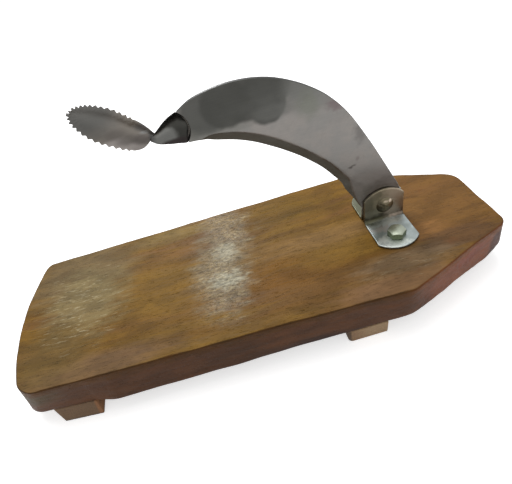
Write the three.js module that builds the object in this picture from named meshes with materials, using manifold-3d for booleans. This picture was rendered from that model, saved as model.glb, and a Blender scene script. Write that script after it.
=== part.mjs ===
// A folding coconut grater: a wooden board on two battens carries a pair of L brackets, and a
// crescent steel arm with a serrated scraper head turns between them on a rivet.
// Millimetres, +Z up, +X towards the board's nose. The origin is on the floor, under the middle
// of the board. The arm is drawn folded back over the seat, where its foot bears on the board.
import * as THREE from "three";
import { mergeVertices } from "three/addons/utils/BufferGeometryUtils.js";
import Module from "manifold-3d";

const wasm = await Module();
wasm.setup();

// Clearances
const GAP = 0.3; // between pieces that touch
const HOLE_PLAY = 0.3; // round a screw, bolt or rivet, on the radius

// Board
const BOARD_L = 389.4;
const BOARD_T = 32;
const SEAT_BOW = 11.3; // how far the seat end bulges past its corners
const SEAT_W = 136.8;
const SHOULDER_W = 148.6;
const NOSE_W = 66.4;
const NOSE_L = 89; // from the shoulders to the nose end
const SEAT_CORNER_R = 12;
const SHOULDER_R = 14;
const NOSE_CORNER_R = 9;
const BOARD_EASE = 1.6; // eased edges

// Battens
const BATTEN_W = 30;
const BATTEN_T = 12;
const BATTEN_INSET = 0.6; // from the board's sides
const SEAT_BATTEN_IN = 37.5; // batten centre, from the seat end
const NOSE_BATTEN_BACK = 36.3; // batten centre, back from the shoulders

// Wood screws, up through the battens
const SCREW_SPACING = 50;
const SCREWS_PER_BATTEN = 3;
const SCREW_R = 2;
const SCREW_L = 36;
const SCREW_POINT_L = 6;
const SCREW_HEAD_R = 4;
const SCREW_HEAD_L = 3;
const SCREW_RECESS = 0.6;

// Brackets
const PIVOT_FROM_NOSE = 79.9;
const BRACKET_OFF_CENTRE = 4.5; // the pair sits a little beyond the board's centre line
const SHEET_T = 2;
const BRACKET_W = 32;
const EAR_H = 32.2; // above the board
const FOOT_REACH = 33.6; // past the ear's outer face
const STRIP_END_SAG = 8.2; // rounding of the strip's two ends
const BEND_INSIDE_R = 1.2;

// Bolts through the bracket feet
const BOLT_OUT = 20.6; // bolt axis, past the ear's outer face
const BOLT_R = 4;
const BOLT_HEAD_AF = 13;
const BOLT_HEAD_H = 5.3;
const BOLT_TURN = 0.16; // radians that the hexagon is turned
const BOLT_SPARE = 1.8; // past the nut
const WASHER_R = 8;
const WASHER_T = 1.6;
const NUT_H = 6.2;

// Hinge rivet
const PIVOT_H = 16.2; // axis above the board
const RIVET_R = 3.5;
const RIVET_HEAD_R = 7.5;
const RIVET_HEAD_H = 3.2;

// Arm: a plate in the plane of X and Z. Its outlines are measured from the pivot, arm folded.
const ARM_T = 2.5;
const OUTER_EDGE = [
  [-136.2, 118.9], [-119, 126.1], [-99.5, 128.3], [-75, 124.3], [-50.8, 112.2],
  [-25.4, 86.3], [-3.7, 47.2], [7.1, 26.5], [12.3, 14.4],
];
const BEND_LINE = [
  [-134.2, 98], [-121, 96.2], [-107.5, 94.4], [-94.5, 91.2], [-81.6, 86.2], [-68.7, 78.4],
  [-55.5, 67.7], [-41.8, 53.8], [-31.1, 39.8], [-26.3, 30], [-23.2, 18], [-20.3, 7.2],
];
const LIP_EDGE = [
  [-134, 97.4], [-121.6, 94.4], [-109.3, 91.2], [-97.2, 86.7], [-85.3, 80.6], [-73.3, 72.4],
  [-60.9, 61.2], [-47.9, 46.6], [-36.9, 31.2], [-30, 20.6], [-24.6, 12], [-20.8, 6.6],
];
const LIP_BACK = 0.7; // how far back the lip leans for each millimetre that it drops
const LIP_T = 2.3;
const ROOT = 1.3; // how far the lip's strip is rooted in the plate, and how far below its faces
const ROOT_IN = 0.25;
const FOOT_L = 11; // flat that bears on the board
const HEEL = [[-16.2, 3.2], [-20.2, 6.6]]; // between the flat and the lip's lower end

// Scraper head. Outlines are in the head's own axes: along it from the neck, and across it.
const NECK = [-155.3, 107.5]; // from the pivot
const HEAD_TILT = 0.565; // radians above the horizontal
const HEAD_OUTLINE = [
  [0.6, -4], [3.5, -8.6], [8, -11.4], [20.7, -12.5], [33.4, -10.9], [44.6, -5.8], [49, 0.8],
  [42.6, 8.3], [29.9, 10.7], [14.9, 8.2], [6.6, 6.2], [1.2, 3.8],
];
const HEAD_HUB = [26, -0.6];
const HEAD_DEPTH = 6;
const TEETH = 26;
const TOOTH_H = 1.5;
const TEETH_FROM = 0.105; // where the teeth start and end, as shares of the outline's length
const TEETH_TO = 0.82;
const SHELL_T = 2.2;

// Neck and tang: the tang is a dish whose round end fits into the arm
const WAIST_R = 3.7;
const WAIST_END_R = 5.4;
const WAIST_L = 15;
const WAIST_FLAT = 0.55; // thickness of the waist against its height
const TANG_CENTRE = [-145.2, 107.9];
const TANG_R = 14.4;
const TANG_TOP_ANGLE = 0.87;
const TANG_BOTTOM_ANGLE = -0.76;
const TANG_UPPER_EDGE = [[-141, 118], [-146, 115.7], [-150.4, 112.5], [-153.2, 109.8]];
const TANG_LOWER_EDGE = [[-157, 103.9], [-152.6, 101.3], [-146.4, 99.9], [-140.1, 98.6]];
const TANG_DEPTH = 6.5;
const WELD_R = 1.1;

// Derived places
const floorToBoard = BATTEN_T + GAP;
const boardTop = floorToBoard + BOARD_T;
const noseX = BOARD_L / 2;
const seatX = SEAT_BOW - BOARD_L / 2;
const shoulderX = noseX - NOSE_L;
const pivotX = noseX - PIVOT_FROM_NOSE;
const pivotZ = boardTop + PIVOT_H;
const armFront = BRACKET_OFF_CENTRE - ARM_T / 2; // the arm's near face
const earGap = ARM_T / 2 + GAP; // from the arm's middle to the inner face of an ear
const earOuter = earGap + SHEET_T;

// Materials
const material = (color, roughness, metalness) =>
  new THREE.MeshStandardMaterial({ color, roughness, metalness });
const varnishedWood = material(0xa06c2e, 0.4, 0);
const rawWood = material(0xc2a078, 0.85, 0);
const armSteel = material(0x8a8680, 0.45, 0.9);
const bracketSteel = material(0xb9c2c2, 0.4, 0.9);
const zincYellow = material(0xc9cf9a, 0.35, 0.9);
const rivetSteel = material(0x77705f, 0.45, 0.9);
const screwSteel = material(0x9a9a94, 0.4, 0.9);

// Solids and meshes
function solidOf(geometry) {
  const g = geometry.index ? geometry.toNonIndexed() : geometry.clone();
  g.deleteAttribute("normal");
  g.deleteAttribute("uv");
  const merged = mergeVertices(g, 1e-4);
  return new wasm.Manifold(
    new wasm.Mesh({
      numProp: 3,
      vertProperties: merged.getAttribute("position").array,
      triVerts: new Uint32Array(merged.index.array),
    }),
  );
}

function geometryOf(solid) {
  const m = solid.getMesh();
  const g = new THREE.BufferGeometry();
  g.setAttribute("position", new THREE.BufferAttribute(m.vertProperties, 3));
  g.setIndex(new THREE.BufferAttribute(m.triVerts, 1));
  return g;
}

const grater = new THREE.Group();

function addPiece(name, shape, finish, place = [0, 0, 0], turnZ = 0) {
  const geometry = shape.isBufferGeometry ? shape : geometryOf(shape);
  const mesh = new THREE.Mesh(geometry, finish);
  mesh.name = name;
  mesh.position.set(...place);
  mesh.rotation.z = turnZ;
  grater.add(mesh);
}

const vectors = (pairs) => pairs.map(([a, b]) => new THREE.Vector2(a, b));

// A prism over a shape: upright, or lying along Y with the shape in the plane of X and Z
function prism(shape, depth, curveSegments = 16) {
  return new THREE.ExtrudeGeometry(shape, { depth, bevelEnabled: false, curveSegments });
}

function prismAlongY(shape, fromY, depth, curveSegments = 16) {
  const upright = prism(shape, depth, curveSegments);
  return upright.rotateX(Math.PI / 2).translate(0, fromY + depth, 0);
}

function rod(radius, fromZ, toZ, x = 0, y = 0) {
  const g = new THREE.CylinderGeometry(radius, radius, toZ - fromZ, 24);
  return g.rotateX(Math.PI / 2).translate(x, y, (fromZ + toZ) / 2);
}

function rodAlongY(radius, fromY, toY, x = 0, z = 0, sides = 24) {
  const g = new THREE.CylinderGeometry(radius, radius, toY - fromY, sides);
  return g.translate(x, (fromY + toY) / 2, z);
}

// A closed outline through corners, each rounded by its own radius or left as it is at 0
function roundedOutline(corners) {
  const shape = new THREE.Shape();
  corners.forEach(([x, y, r], i) => {
    if (r === 0) {
      shape.lineTo(x, y);
      return;
    }
    const here = new THREE.Vector2(x, y);
    const [px, py] = corners[(i + corners.length - 1) % corners.length];
    const [nx, ny] = corners[(i + 1) % corners.length];
    const back = new THREE.Vector2(px, py).sub(here).setLength(r).add(here);
    const ahead = new THREE.Vector2(nx, ny).sub(here).setLength(r).add(here);
    if (i === 0) shape.moveTo(back.x, back.y);
    else shape.lineTo(back.x, back.y);
    shape.quadraticCurveTo(x, y, ahead.x, ahead.y);
  });
  shape.closePath();
  return shape;
}

// A rectangle on the line y = low, as wide as the strip, whose far end is an arc up to y = high
function roundEndedStrip(low, high) {
  const half = BRACKET_W / 2;
  const radius = (half * half + STRIP_END_SAG * STRIP_END_SAG) / (2 * STRIP_END_SAG);
  const reach = Math.asin(half / radius);
  const shape = new THREE.Shape();
  shape.moveTo(-half, low);
  shape.lineTo(half, low);
  shape.lineTo(half, high - STRIP_END_SAG);
  shape.absarc(0, high - radius, radius, Math.PI / 2 - reach, Math.PI / 2 + reach, false);
  shape.closePath();
  return shape;
}

// Board
const halfWidthAt = (x) =>
  THREE.MathUtils.mapLinear(x, seatX, shoulderX, SEAT_W / 2, SHOULDER_W / 2);

const boltPlaces = [-1, 1].map((side) => ({
  side,
  name: side < 0 ? "near" : "far",
  y: BRACKET_OFF_CENTRE + side * (earOuter + BOLT_OUT),
}));

const battens = [
  { name: "seat", x: SEAT_BATTEN_IN - BOARD_L / 2 },
  { name: "nose", x: shoulderX - NOSE_BATTEN_BACK },
];

const screwPlaces = battens.flatMap(({ x }) =>
  Array.from({ length: SCREWS_PER_BATTEN }, (_, i) => ({
    x,
    y: (i - (SCREWS_PER_BATTEN - 1) / 2) * SCREW_SPACING,
  })),
);

// A countersunk screw, point up; spare widens it for the hole that takes it
function screwBody(spare) {
  const profile = vectors([
    [0, SCREW_RECESS - spare * 3],
    [SCREW_HEAD_R + spare, SCREW_RECESS - spare * 3],
    [SCREW_HEAD_R + spare, SCREW_RECESS + spare],
    [SCREW_R + spare, SCREW_RECESS + SCREW_HEAD_L],
    [SCREW_R + spare, SCREW_L - SCREW_POINT_L],
    [0, SCREW_L + spare * 3],
  ]);
  return new THREE.LatheGeometry(profile, 16).rotateX(Math.PI / 2);
}

function cutScrewHoles(solid) {
  const hole = screwBody(HOLE_PLAY);
  return screwPlaces.reduce(
    (left, { x, y }) => left.subtract(solidOf(hole.clone().translate(x, y, 0))),
    solid,
  );
}

function makeBoard() {
  const seat = SEAT_W / 2;
  const shoulder = SHOULDER_W / 2;
  const nose = NOSE_W / 2;
  const bow = new THREE.QuadraticBezierCurve(
    new THREE.Vector2(seatX, seat),
    new THREE.Vector2(seatX - 2 * SEAT_BOW, 0),
    new THREE.Vector2(seatX, -seat),
  );
  const bowPoints = Array.from({ length: 15 }, (_, i) => {
    const p = bow.getPoint(THREE.MathUtils.lerp(0.12, 0.88, i / 14));
    return [p.x, p.y, 0];
  });
  const outline = roundedOutline([
    [seatX, -seat, SEAT_CORNER_R],
    [shoulderX, -shoulder, SHOULDER_R],
    [noseX, -nose, NOSE_CORNER_R],
    [noseX, nose, NOSE_CORNER_R],
    [shoulderX, shoulder, SHOULDER_R],
    [seatX, seat, SEAT_CORNER_R],
    ...bowPoints,
  ]);
  const plank = new THREE.ExtrudeGeometry(outline, {
    depth: BOARD_T - 2 * BOARD_EASE,
    bevelThickness: BOARD_EASE,
    bevelSize: BOARD_EASE,
    bevelOffset: -BOARD_EASE,
    bevelSegments: 2,
    curveSegments: 8,
  }).translate(0, 0, floorToBoard + BOARD_EASE);
  const bored = boltPlaces.reduce(
    (left, { y }) =>
      left.subtract(solidOf(rod(BOLT_R + HOLE_PLAY, 0, boardTop + 1, pivotX, y))),
    solidOf(plank),
  );
  return cutScrewHoles(bored);
}

function makeBatten(x) {
  const half = halfWidthAt(x) - BATTEN_INSET;
  const bar = new THREE.BoxGeometry(BATTEN_W, 2 * half, BATTEN_T);
  return cutScrewHoles(solidOf(bar.translate(x, 0, BATTEN_T / 2)));
}

addPiece("board", makeBoard(), varnishedWood);
battens.forEach(({ name, x }) => addPiece("batten_" + name, makeBatten(x), rawWood));
screwPlaces.forEach(({ x, y }, i) =>
  addPiece("batten_screw_" + (i + 1), screwBody(0), screwSteel, [x, y, 0]),
);

// Bracket, with its ear's inner face on y = 0 and its foot running towards -Y
function makeBracket() {
  const top = EAR_H - GAP;
  const section = new THREE.Shape();
  section.moveTo(0, top);
  section.lineTo(-SHEET_T, top);
  section.lineTo(-SHEET_T, SHEET_T + BEND_INSIDE_R);
  section.quadraticCurveTo(-SHEET_T, SHEET_T, -SHEET_T - BEND_INSIDE_R, SHEET_T);
  section.lineTo(-SHEET_T - FOOT_REACH, SHEET_T);
  section.lineTo(-SHEET_T - FOOT_REACH, 0);
  section.lineTo(-SHEET_T - BEND_INSIDE_R, 0);
  section.quadraticCurveTo(0, 0, 0, SHEET_T + BEND_INSIDE_R);
  section.closePath();
  // The section is drawn in the plane of Y and Z, and runs across the strip along X
  const strip = prism(section, BRACKET_W)
    .rotateX(Math.PI / 2)
    .rotateZ(Math.PI / 2)
    .translate(-BRACKET_W / 2, 0, 0);
  const earShape = prismAlongY(roundEndedStrip(-1, top), -SHEET_T - FOOT_REACH - 1, BOARD_L);
  const footShape = prism(roundEndedStrip(-1 - SHEET_T, SHEET_T + FOOT_REACH), EAR_H + 2)
    .rotateZ(Math.PI)
    .translate(0, 0, -1);
  return solidOf(strip)
    .intersect(solidOf(earShape))
    .intersect(solidOf(footShape))
    .subtract(solidOf(rodAlongY(RIVET_R + HOLE_PLAY, -SHEET_T - 1, 1, 0, PIVOT_H - GAP)))
    .subtract(solidOf(rod(BOLT_R + HOLE_PLAY, -1, SHEET_T + 1, 0, -SHEET_T - BOLT_OUT)));
}

// Bolts, washers and nuts
function hexagon(acrossFlats) {
  const shape = new THREE.Shape();
  const corner = acrossFlats / Math.sqrt(3);
  for (let i = 0; i < 6; i += 1) {
    const a = (i * Math.PI) / 3 + BOLT_TURN;
    if (i === 0) shape.moveTo(corner * Math.cos(a), corner * Math.sin(a));
    else shape.lineTo(corner * Math.cos(a), corner * Math.sin(a));
  }
  shape.closePath();
  return shape;
}

const headSeat = boardTop + 2 * GAP + SHEET_T;
const washerTop = floorToBoard - GAP;
const nutTop = washerTop - WASHER_T - GAP;

function makeBolt() {
  const shank = rod(BOLT_R, nutTop - NUT_H - BOLT_SPARE, headSeat + 1);
  const head = prism(hexagon(BOLT_HEAD_AF), BOLT_HEAD_H).translate(0, 0, headSeat);
  return solidOf(shank).add(solidOf(head));
}

function makeRing(outline, height, top) {
  const hole = new THREE.Path().absarc(0, 0, BOLT_R + HOLE_PLAY, 0, 2 * Math.PI, true);
  outline.holes.push(hole);
  return prism(outline, height).translate(0, 0, top - height);
}

boltPlaces.forEach(({ side, name, y }) => {
  const innerFace = BRACKET_OFF_CENTRE + side * earGap;
  const turn = side < 0 ? 0 : Math.PI;
  const disc = new THREE.Shape().absarc(0, 0, WASHER_R, 0, 2 * Math.PI, false);
  addPiece("bracket_" + name, makeBracket(), bracketSteel, [pivotX, innerFace, boardTop + GAP], turn);
  addPiece("bolt_" + name, makeBolt(), zincYellow, [pivotX, y, 0]);
  addPiece("washer_" + name, makeRing(disc, WASHER_T, washerTop), zincYellow, [pivotX, y, 0]);
  addPiece("nut_" + name, makeRing(hexagon(BOLT_HEAD_AF), NUT_H, nutTop), zincYellow, [pivotX, y, 0]);
});

// Rivet: a shank with a dome outside each ear
function makeRivet() {
  const seat = earOuter + GAP;
  const sphereR = (RIVET_HEAD_R ** 2 + RIVET_HEAD_H ** 2) / (2 * RIVET_HEAD_H);
  const sweep = Math.asin(RIVET_HEAD_R / sphereR);
  const dome = Array.from({ length: 6 }, (_, i) => {
    const a = sweep * (1 - i / 5);
    return [sphereR * Math.sin(a), seat + RIVET_HEAD_H - sphereR * (1 - Math.cos(a))];
  });
  dome[5][0] = 0;
  const upper = [[RIVET_R, seat], ...dome];
  const lower = upper.map(([r, h]) => [r, -h]).reverse();
  return new THREE.LatheGeometry(vectors([...lower, ...upper]), 24);
}

addPiece("pivot_rivet", makeRivet(), rivetSteel, [pivotX, BRACKET_OFF_CENTRE, pivotZ]);

// Arm
const heelZ = -PIVOT_H + GAP;

function plateOutline() {
  const bend = vectors(BEND_LINE).reverse();
  const shape = new THREE.Shape();
  shape.moveTo(...OUTER_EDGE[0]);
  shape.splineThru(vectors(OUTER_EDGE.slice(1)));
  shape.absarc(0, 0, -heelZ, 0.5, -Math.PI / 2, true);
  shape.lineTo(-FOOT_L, heelZ);
  HEEL.forEach(([x, z]) => shape.lineTo(x, z));
  shape.lineTo(bend[0].x, bend[0].y);
  shape.splineThru(bend.slice(1));
  shape.lineTo(OUTER_EDGE[0][0], BEND_LINE[0][1] + 1);
  return shape;
}

// The lip: a strip that leaves the plate along the bend line and leans back to the lip's edge
function lipStrip() {
  const steps = 44;
  const along = (points) => new THREE.SplineCurve(vectors(points));
  const bend = along(BEND_LINE);
  const edge = along(LIP_EDGE);
  const rings = Array.from({ length: steps + 1 }, (_, i) => {
    const t = 0.04 + (0.95 * i) / steps;
    const from = bend.getPoint(t);
    const drop = edge.getPoint(t).sub(from);
    const width = Math.max(drop.length(), 0.5);
    drop.normalize();
    const back = width * LIP_BACK;
    const slope = Math.hypot(width, back);
    const at = (down, y) =>
      new THREE.Vector3(from.x + drop.x * down, y, from.y + drop.y * down);
    return [
      at(-ROOT, ROOT_IN),
      at(width, back),
      at(width - (LIP_T * back) / slope, back + (LIP_T * width) / slope),
      at(-2 * ROOT, ARM_T - ROOT_IN),
      at(-2 * ROOT, ROOT_IN),
    ];
  });
  return loft(rings);
}

// A closed skin over a row of rings that all have the same number of points
function loft(rings) {
  const n = rings[0].length;
  const faces = [];
  for (let i = 0; i + 1 < rings.length; i += 1) {
    for (let j = 0; j < n; j += 1) {
      const k = (j + 1) % n;
      faces.push(rings[i][j], rings[i][k], rings[i + 1][k]);
      faces.push(rings[i][j], rings[i + 1][k], rings[i + 1][j]);
    }
  }
  const last = rings[rings.length - 1];
  for (let j = 1; j + 1 < n; j += 1) {
    faces.push(rings[0][0], rings[0][j + 1], rings[0][j]);
    faces.push(last[0], last[j], last[j + 1]);
  }
  return facing(new THREE.BufferGeometry().setFromPoints(faces));
}

// The same skin with its faces turned outwards
function facing(geometry) {
  const p = geometry.getAttribute("position");
  let volume = 0;
  const [a, b, c] = [new THREE.Vector3(), new THREE.Vector3(), new THREE.Vector3()];
  for (let i = 0; i < p.count; i += 3) {
    a.fromBufferAttribute(p, i);
    b.fromBufferAttribute(p, i + 1);
    c.fromBufferAttribute(p, i + 2);
    volume += a.dot(b.cross(c));
  }
  if (volume < 0) {
    for (let i = 0; i < p.count; i += 3) {
      b.fromBufferAttribute(p, i + 1);
      c.fromBufferAttribute(p, i + 2);
      p.setXYZ(i + 1, c.x, c.y, c.z);
      p.setXYZ(i + 2, b.x, b.y, b.z);
    }
  }
  return geometry;
}

function makeArm() {
  const plate = solidOf(prismAlongY(plateOutline(), 0, ARM_T, 6));
  return plate
    .add(solidOf(lipStrip()))
    .subtract(solidOf(rodAlongY(TANG_R + GAP, -1, ARM_T + 20, ...TANG_CENTRE, 64)))
    .subtract(solidOf(rodAlongY(RIVET_R + HOLE_PLAY, -1, ARM_T + 1)));
}

// A dished shell over an outline: its rim is flat and its middle hangs back by the depth
function dish(outline, hub, depth, toPlace) {
  const shares = [0.3, 0.55, 0.75, 0.9, 1];
  const sag = (share) => depth * (1 - share ** 2.2);
  const skin = (thickness) => [
    toPlace(hub[0], hub[1], sag(0) + thickness),
    shares.map((share) =>
      outline.map(([u, w]) =>
        toPlace(
          hub[0] + (u - hub[0]) * share,
          hub[1] + (w - hub[1]) * share,
          sag(share) + thickness,
        ),
      ),
    ),
  ];
  const [frontHub, front] = skin(0);
  const [backHub, back] = skin(SHELL_T);
  const faces = [];
  const n = outline.length;
  for (let j = 0; j < n; j += 1) {
    const k = (j + 1) % n;
    faces.push(frontHub, front[0][j], front[0][k]);
    faces.push(backHub, back[0][k], back[0][j]);
    for (let i = 0; i + 1 < shares.length; i += 1) {
      faces.push(front[i][j], front[i + 1][j], front[i + 1][k]);
      faces.push(front[i][j], front[i + 1][k], front[i][k]);
      faces.push(back[i][j], back[i + 1][k], back[i + 1][j]);
      faces.push(back[i][j], back[i][k], back[i + 1][k]);
    }
    const rim = shares.length - 1;
    faces.push(front[rim][j], back[rim][j], back[rim][k]);
    faces.push(front[rim][j], back[rim][k], front[rim][k]);
  }
  return solidOf(facing(new THREE.BufferGeometry().setFromPoints(faces)));
}

// The head's outline, with its teeth as alternate crests and valleys
function serratedOutline() {
  const curve = new THREE.CatmullRomCurve3(
    HEAD_OUTLINE.map(([u, w]) => new THREE.Vector3(u, w, 0)),
    true,
  );
  const at = (share, out) => {
    const p = curve.getPointAt(share);
    const t = curve.getTangentAt(share);
    return [p.x + t.y * out, p.y - t.x * out];
  };
  const toothed = Array.from({ length: 2 * TEETH + 1 }, (_, i) =>
    at(
      THREE.MathUtils.mapLinear(i, 0, 2 * TEETH, TEETH_FROM, TEETH_TO),
      i % 2 ? TOOTH_H / 2 : -TOOTH_H / 2,
    ),
  );
  const plain = Array.from({ length: 15 }, (_, i) => {
    const share = THREE.MathUtils.mapLinear(i + 1, 0, 16, TEETH_TO, 1 + TEETH_FROM);
    return at(share % 1, 0);
  });
  return [...toothed, ...plain];
}

function tangOutline() {
  const arc = Array.from({ length: 13 }, (_, i) => {
    const a = THREE.MathUtils.lerp(TANG_BOTTOM_ANGLE, TANG_TOP_ANGLE, i / 12);
    return [TANG_CENTRE[0] + TANG_R * Math.cos(a), TANG_CENTRE[1] + TANG_R * Math.sin(a)];
  });
  return [...arc, ...TANG_UPPER_EDGE, ...TANG_LOWER_EDGE];
}

function makeHead() {
  const cos = Math.cos(HEAD_TILT);
  const sin = Math.sin(HEAD_TILT);
  const inHead = (u, w, back) =>
    new THREE.Vector3(NECK[0] - u * cos + w * sin, back, NECK[1] + u * sin + w * cos);
  const inArm = (x, z, back) => new THREE.Vector3(x, back, z);
  const waist = new THREE.LatheGeometry(
    vectors([
      [0, -WAIST_L / 2],
      [WAIST_END_R, -WAIST_L / 2],
      [WAIST_R, -WAIST_L / 6],
      [WAIST_R, WAIST_L / 6],
      [WAIST_END_R, WAIST_L / 2],
      [0, WAIST_L / 2],
    ]),
    20,
  )
    .rotateZ(Math.PI / 2 - HEAD_TILT)
    .rotateX(Math.PI / 2)
    .scale(1, WAIST_FLAT, 1);
  // Turned into the head's plane, at the neck, in the middle of the shell
  waist.translate(NECK[0], SHELL_T, NECK[1]);
  return dish(serratedOutline(), HEAD_HUB, HEAD_DEPTH, inHead)
    .add(solidOf(waist))
    .add(dish(tangOutline(), TANG_CENTRE, TANG_DEPTH, inArm));
}

// The weld lies on the arm's back, along the tang's round end
function makeWeld() {
  const middle = TANG_R + GAP + WELD_R / 2;
  const points = Array.from({ length: 25 }, (_, i) => {
    const a = THREE.MathUtils.lerp(TANG_BOTTOM_ANGLE + 0.06, TANG_TOP_ANGLE - 0.06, i / 24);
    return new THREE.Vector3(
      TANG_CENTRE[0] + middle * Math.cos(a),
      ARM_T + GAP + WELD_R,
      TANG_CENTRE[1] + middle * Math.sin(a),
    );
  });
  const section = new THREE.Shape().absarc(0, 0, WELD_R, 0, 2 * Math.PI, false);
  return new THREE.ExtrudeGeometry(section, {
    steps: 24,
    curveSegments: 5,
    bevelEnabled: false,
    extrudePath: new THREE.CatmullRomCurve3(points),
  });
}

const armPlace = [pivotX, armFront, pivotZ];
addPiece("arm", makeArm(), armSteel, armPlace);
addPiece("scraper_head", makeHead(), armSteel, armPlace);
addPiece("weld_bead", makeWeld(), armSteel, armPlace);

export default grater;
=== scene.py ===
"""A folding coconut grater: a varnished board on two battens carries a pair of brackets, and a
crescent steel arm with a serrated scraper head turns between them on a rivet.
Shapes are drawn in millimetres and brought to metres when a piece is finished."""

import math

import bmesh
import bpy
from mathutils import Matrix, Vector, geometry, kdtree, noise


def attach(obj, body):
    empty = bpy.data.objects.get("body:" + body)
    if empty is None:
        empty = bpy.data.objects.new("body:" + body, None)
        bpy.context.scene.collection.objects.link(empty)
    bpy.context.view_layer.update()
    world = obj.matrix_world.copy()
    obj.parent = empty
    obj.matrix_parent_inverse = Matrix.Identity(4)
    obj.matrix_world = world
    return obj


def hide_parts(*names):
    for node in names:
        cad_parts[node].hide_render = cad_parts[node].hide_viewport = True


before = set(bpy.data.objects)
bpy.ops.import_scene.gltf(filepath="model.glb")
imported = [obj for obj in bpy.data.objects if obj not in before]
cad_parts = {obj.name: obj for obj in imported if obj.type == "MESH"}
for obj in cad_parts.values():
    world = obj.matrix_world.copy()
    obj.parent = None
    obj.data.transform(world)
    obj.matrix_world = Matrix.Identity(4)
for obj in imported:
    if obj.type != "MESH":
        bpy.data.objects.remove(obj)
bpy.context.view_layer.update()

# A millimetre in metres
MM = 0.001
# Corners nearer than this are one, in millimetres
SAME_PLACE = 1e-4

# Places and sizes shared by several pieces, in millimetres
GAP = 0.3
BATTEN_T = 12
BOARD_UNDER = BATTEN_T + GAP
BOARD_T = 32
BOARD_TOP = BOARD_UNDER + BOARD_T
HINGE_X = 114.8
HINGE_Y = 4.5
HINGE_Z = 60.5
SHEET = 2
ARM_SHEET = 2.4
ARM_FACE_Y = HINGE_Y - 1.25
EAR_INSIDE = 1.55
EAR_OUTSIDE = EAR_INSIDE + SHEET
# How far the bolts stand out from the ears
BOLT_OUT = 22.2
# The hinge pin's place on the arm's face
ARM_FRAME = Matrix.Translation((HINGE_X, ARM_FACE_Y, HINGE_Z))


# Modelling helpers


def curve_through(points, count, parts=24):
    """Points evenly spaced along a smooth curve through the given ones."""
    knots = [Vector(p).to_3d() for p in points]
    last = len(knots) - 1
    dense = [knots[0]]
    for i in range(last):
        start, end = knots[i], knots[i + 1]
        leave = (end - knots[max(i - 1, 0)]) / 6
        arrive = (knots[min(i + 2, last)] - start) / 6
        dense += geometry.interpolate_bezier(start, start + leave, end - arrive, end, parts)[1:]
    reach = [0.0]
    for a, b in zip(dense, dense[1:]):
        reach.append(reach[-1] + (b - a).length)
    spaced = []
    k = 0
    for i in range(count):
        want = reach[-1] * i / (count - 1)
        while k < len(dense) - 2 and reach[k + 1] < want:
            k += 1
        step = max(reach[k + 1] - reach[k], 1e-9)
        spaced.append(dense[k].lerp(dense[k + 1], (want - reach[k]) / step))
    return spaced


def between(table, share):
    """The value at a share on a smooth line through a table of (share, value) pairs."""
    last = len(table) - 1
    share = min(max(share, table[0][0]), table[-1][0])
    i = max(k for k in range(last) if table[k][0] <= share)
    (s0, v0), (s1, v1) = table[i], table[i + 1]
    before, after = table[max(i - 1, 0)], table[min(i + 2, last)]
    step = s1 - s0
    leave = (v1 - before[1]) / (s1 - before[0]) * step / 3
    arrive = (after[1] - v0) / (after[0] - s0) * step / 3
    t = (share - s0) / step
    mid = 3 * t * (1 - t) * ((1 - t) * (v0 + leave) + t * (v1 - arrive))
    return (1 - t) ** 3 * v0 + mid + t ** 3 * v1


def rounded_outline(corners, pieces, turns=10):
    """A closed outline with rounded corners; pieces says how many parts each straight side has."""
    count = len(corners)
    arcs = []
    for i, (x, y, radius) in enumerate(corners):
        here = Vector((x, y))
        back = (Vector(corners[i - 1][:2]) - here).normalized()
        ahead = (Vector(corners[(i + 1) % count][:2]) - here).normalized()
        half = back.angle(ahead) / 2
        centre = here + (back + ahead).normalized() * radius / math.sin(half)
        start = here + back * radius / math.tan(half) - centre
        sweep = start.angle_signed(here + ahead * radius / math.tan(half) - centre)
        spokes = [Matrix.Rotation(-sweep * k / turns, 2) @ start for k in range(turns + 1)]
        arcs.append([centre + spoke for spoke in spokes])
    outline = []
    for i, arc in enumerate(arcs):
        outline += arc
        follow = arcs[(i + 1) % count][0]
        outline += [arc[-1].lerp(follow, k / pieces[i]) for k in range(1, pieces[i])]
    return outline


def close_seams(bm):
    """Join the corners that meet, and turn the faces outward."""
    bmesh.ops.remove_doubles(bm, verts=bm.verts, dist=SAME_PLACE)
    bmesh.ops.recalc_face_normals(bm, faces=bm.faces)


def mapped_sheet(rows, columns, place):
    """A sheet of quads; place(row share, column share) says where each corner goes."""
    bm = bmesh.new()
    bmesh.ops.create_grid(bm, x_segments=columns, y_segments=rows, size=0.5)
    for vert in bm.verts:
        vert.co = place(vert.co.y + 0.5, vert.co.x + 0.5)
    close_seams(bm)
    return bm


def mapped_tube(rows, around, place):
    """A sheet that closes round itself, with its two ends filled."""
    bm = mapped_sheet(rows, around, place)
    bmesh.ops.edgeloop_fill(bm, edges=[e for e in bm.edges if e.is_boundary])
    return bm


def block(size, centre, turn=0.0):
    """A box, turned about Z on its middle."""
    bm = bmesh.new()
    bmesh.ops.create_cube(bm, size=1)
    bmesh.ops.scale(bm, vec=size, verts=bm.verts)
    spin = Matrix.Rotation(turn, 3, "Z")
    bmesh.ops.rotate(bm, verts=bm.verts, cent=(0, 0, 0), matrix=spin)
    bmesh.ops.translate(bm, vec=centre, verts=bm.verts)
    return bm


def lathed(profile, sides, place=Matrix.Identity(4)):
    """A (radius, height) profile spun about Z, then moved into place."""
    bm = bmesh.new()
    verts = [bm.verts.new((r, 0, h)) for r, h in profile]
    for a, b in zip(verts, verts[1:]):
        bm.edges.new((a, b))
    bmesh.ops.spin(
        bm, geom=bm.verts[:] + bm.edges[:], axis=(0, 0, 1), cent=(0, 0, 0), dvec=(0, 0, 0),
        angle=math.tau, steps=sides, use_merge=True, use_duplicate=False,
    )
    close_seams(bm)
    move(bm, place)
    return bm


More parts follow.
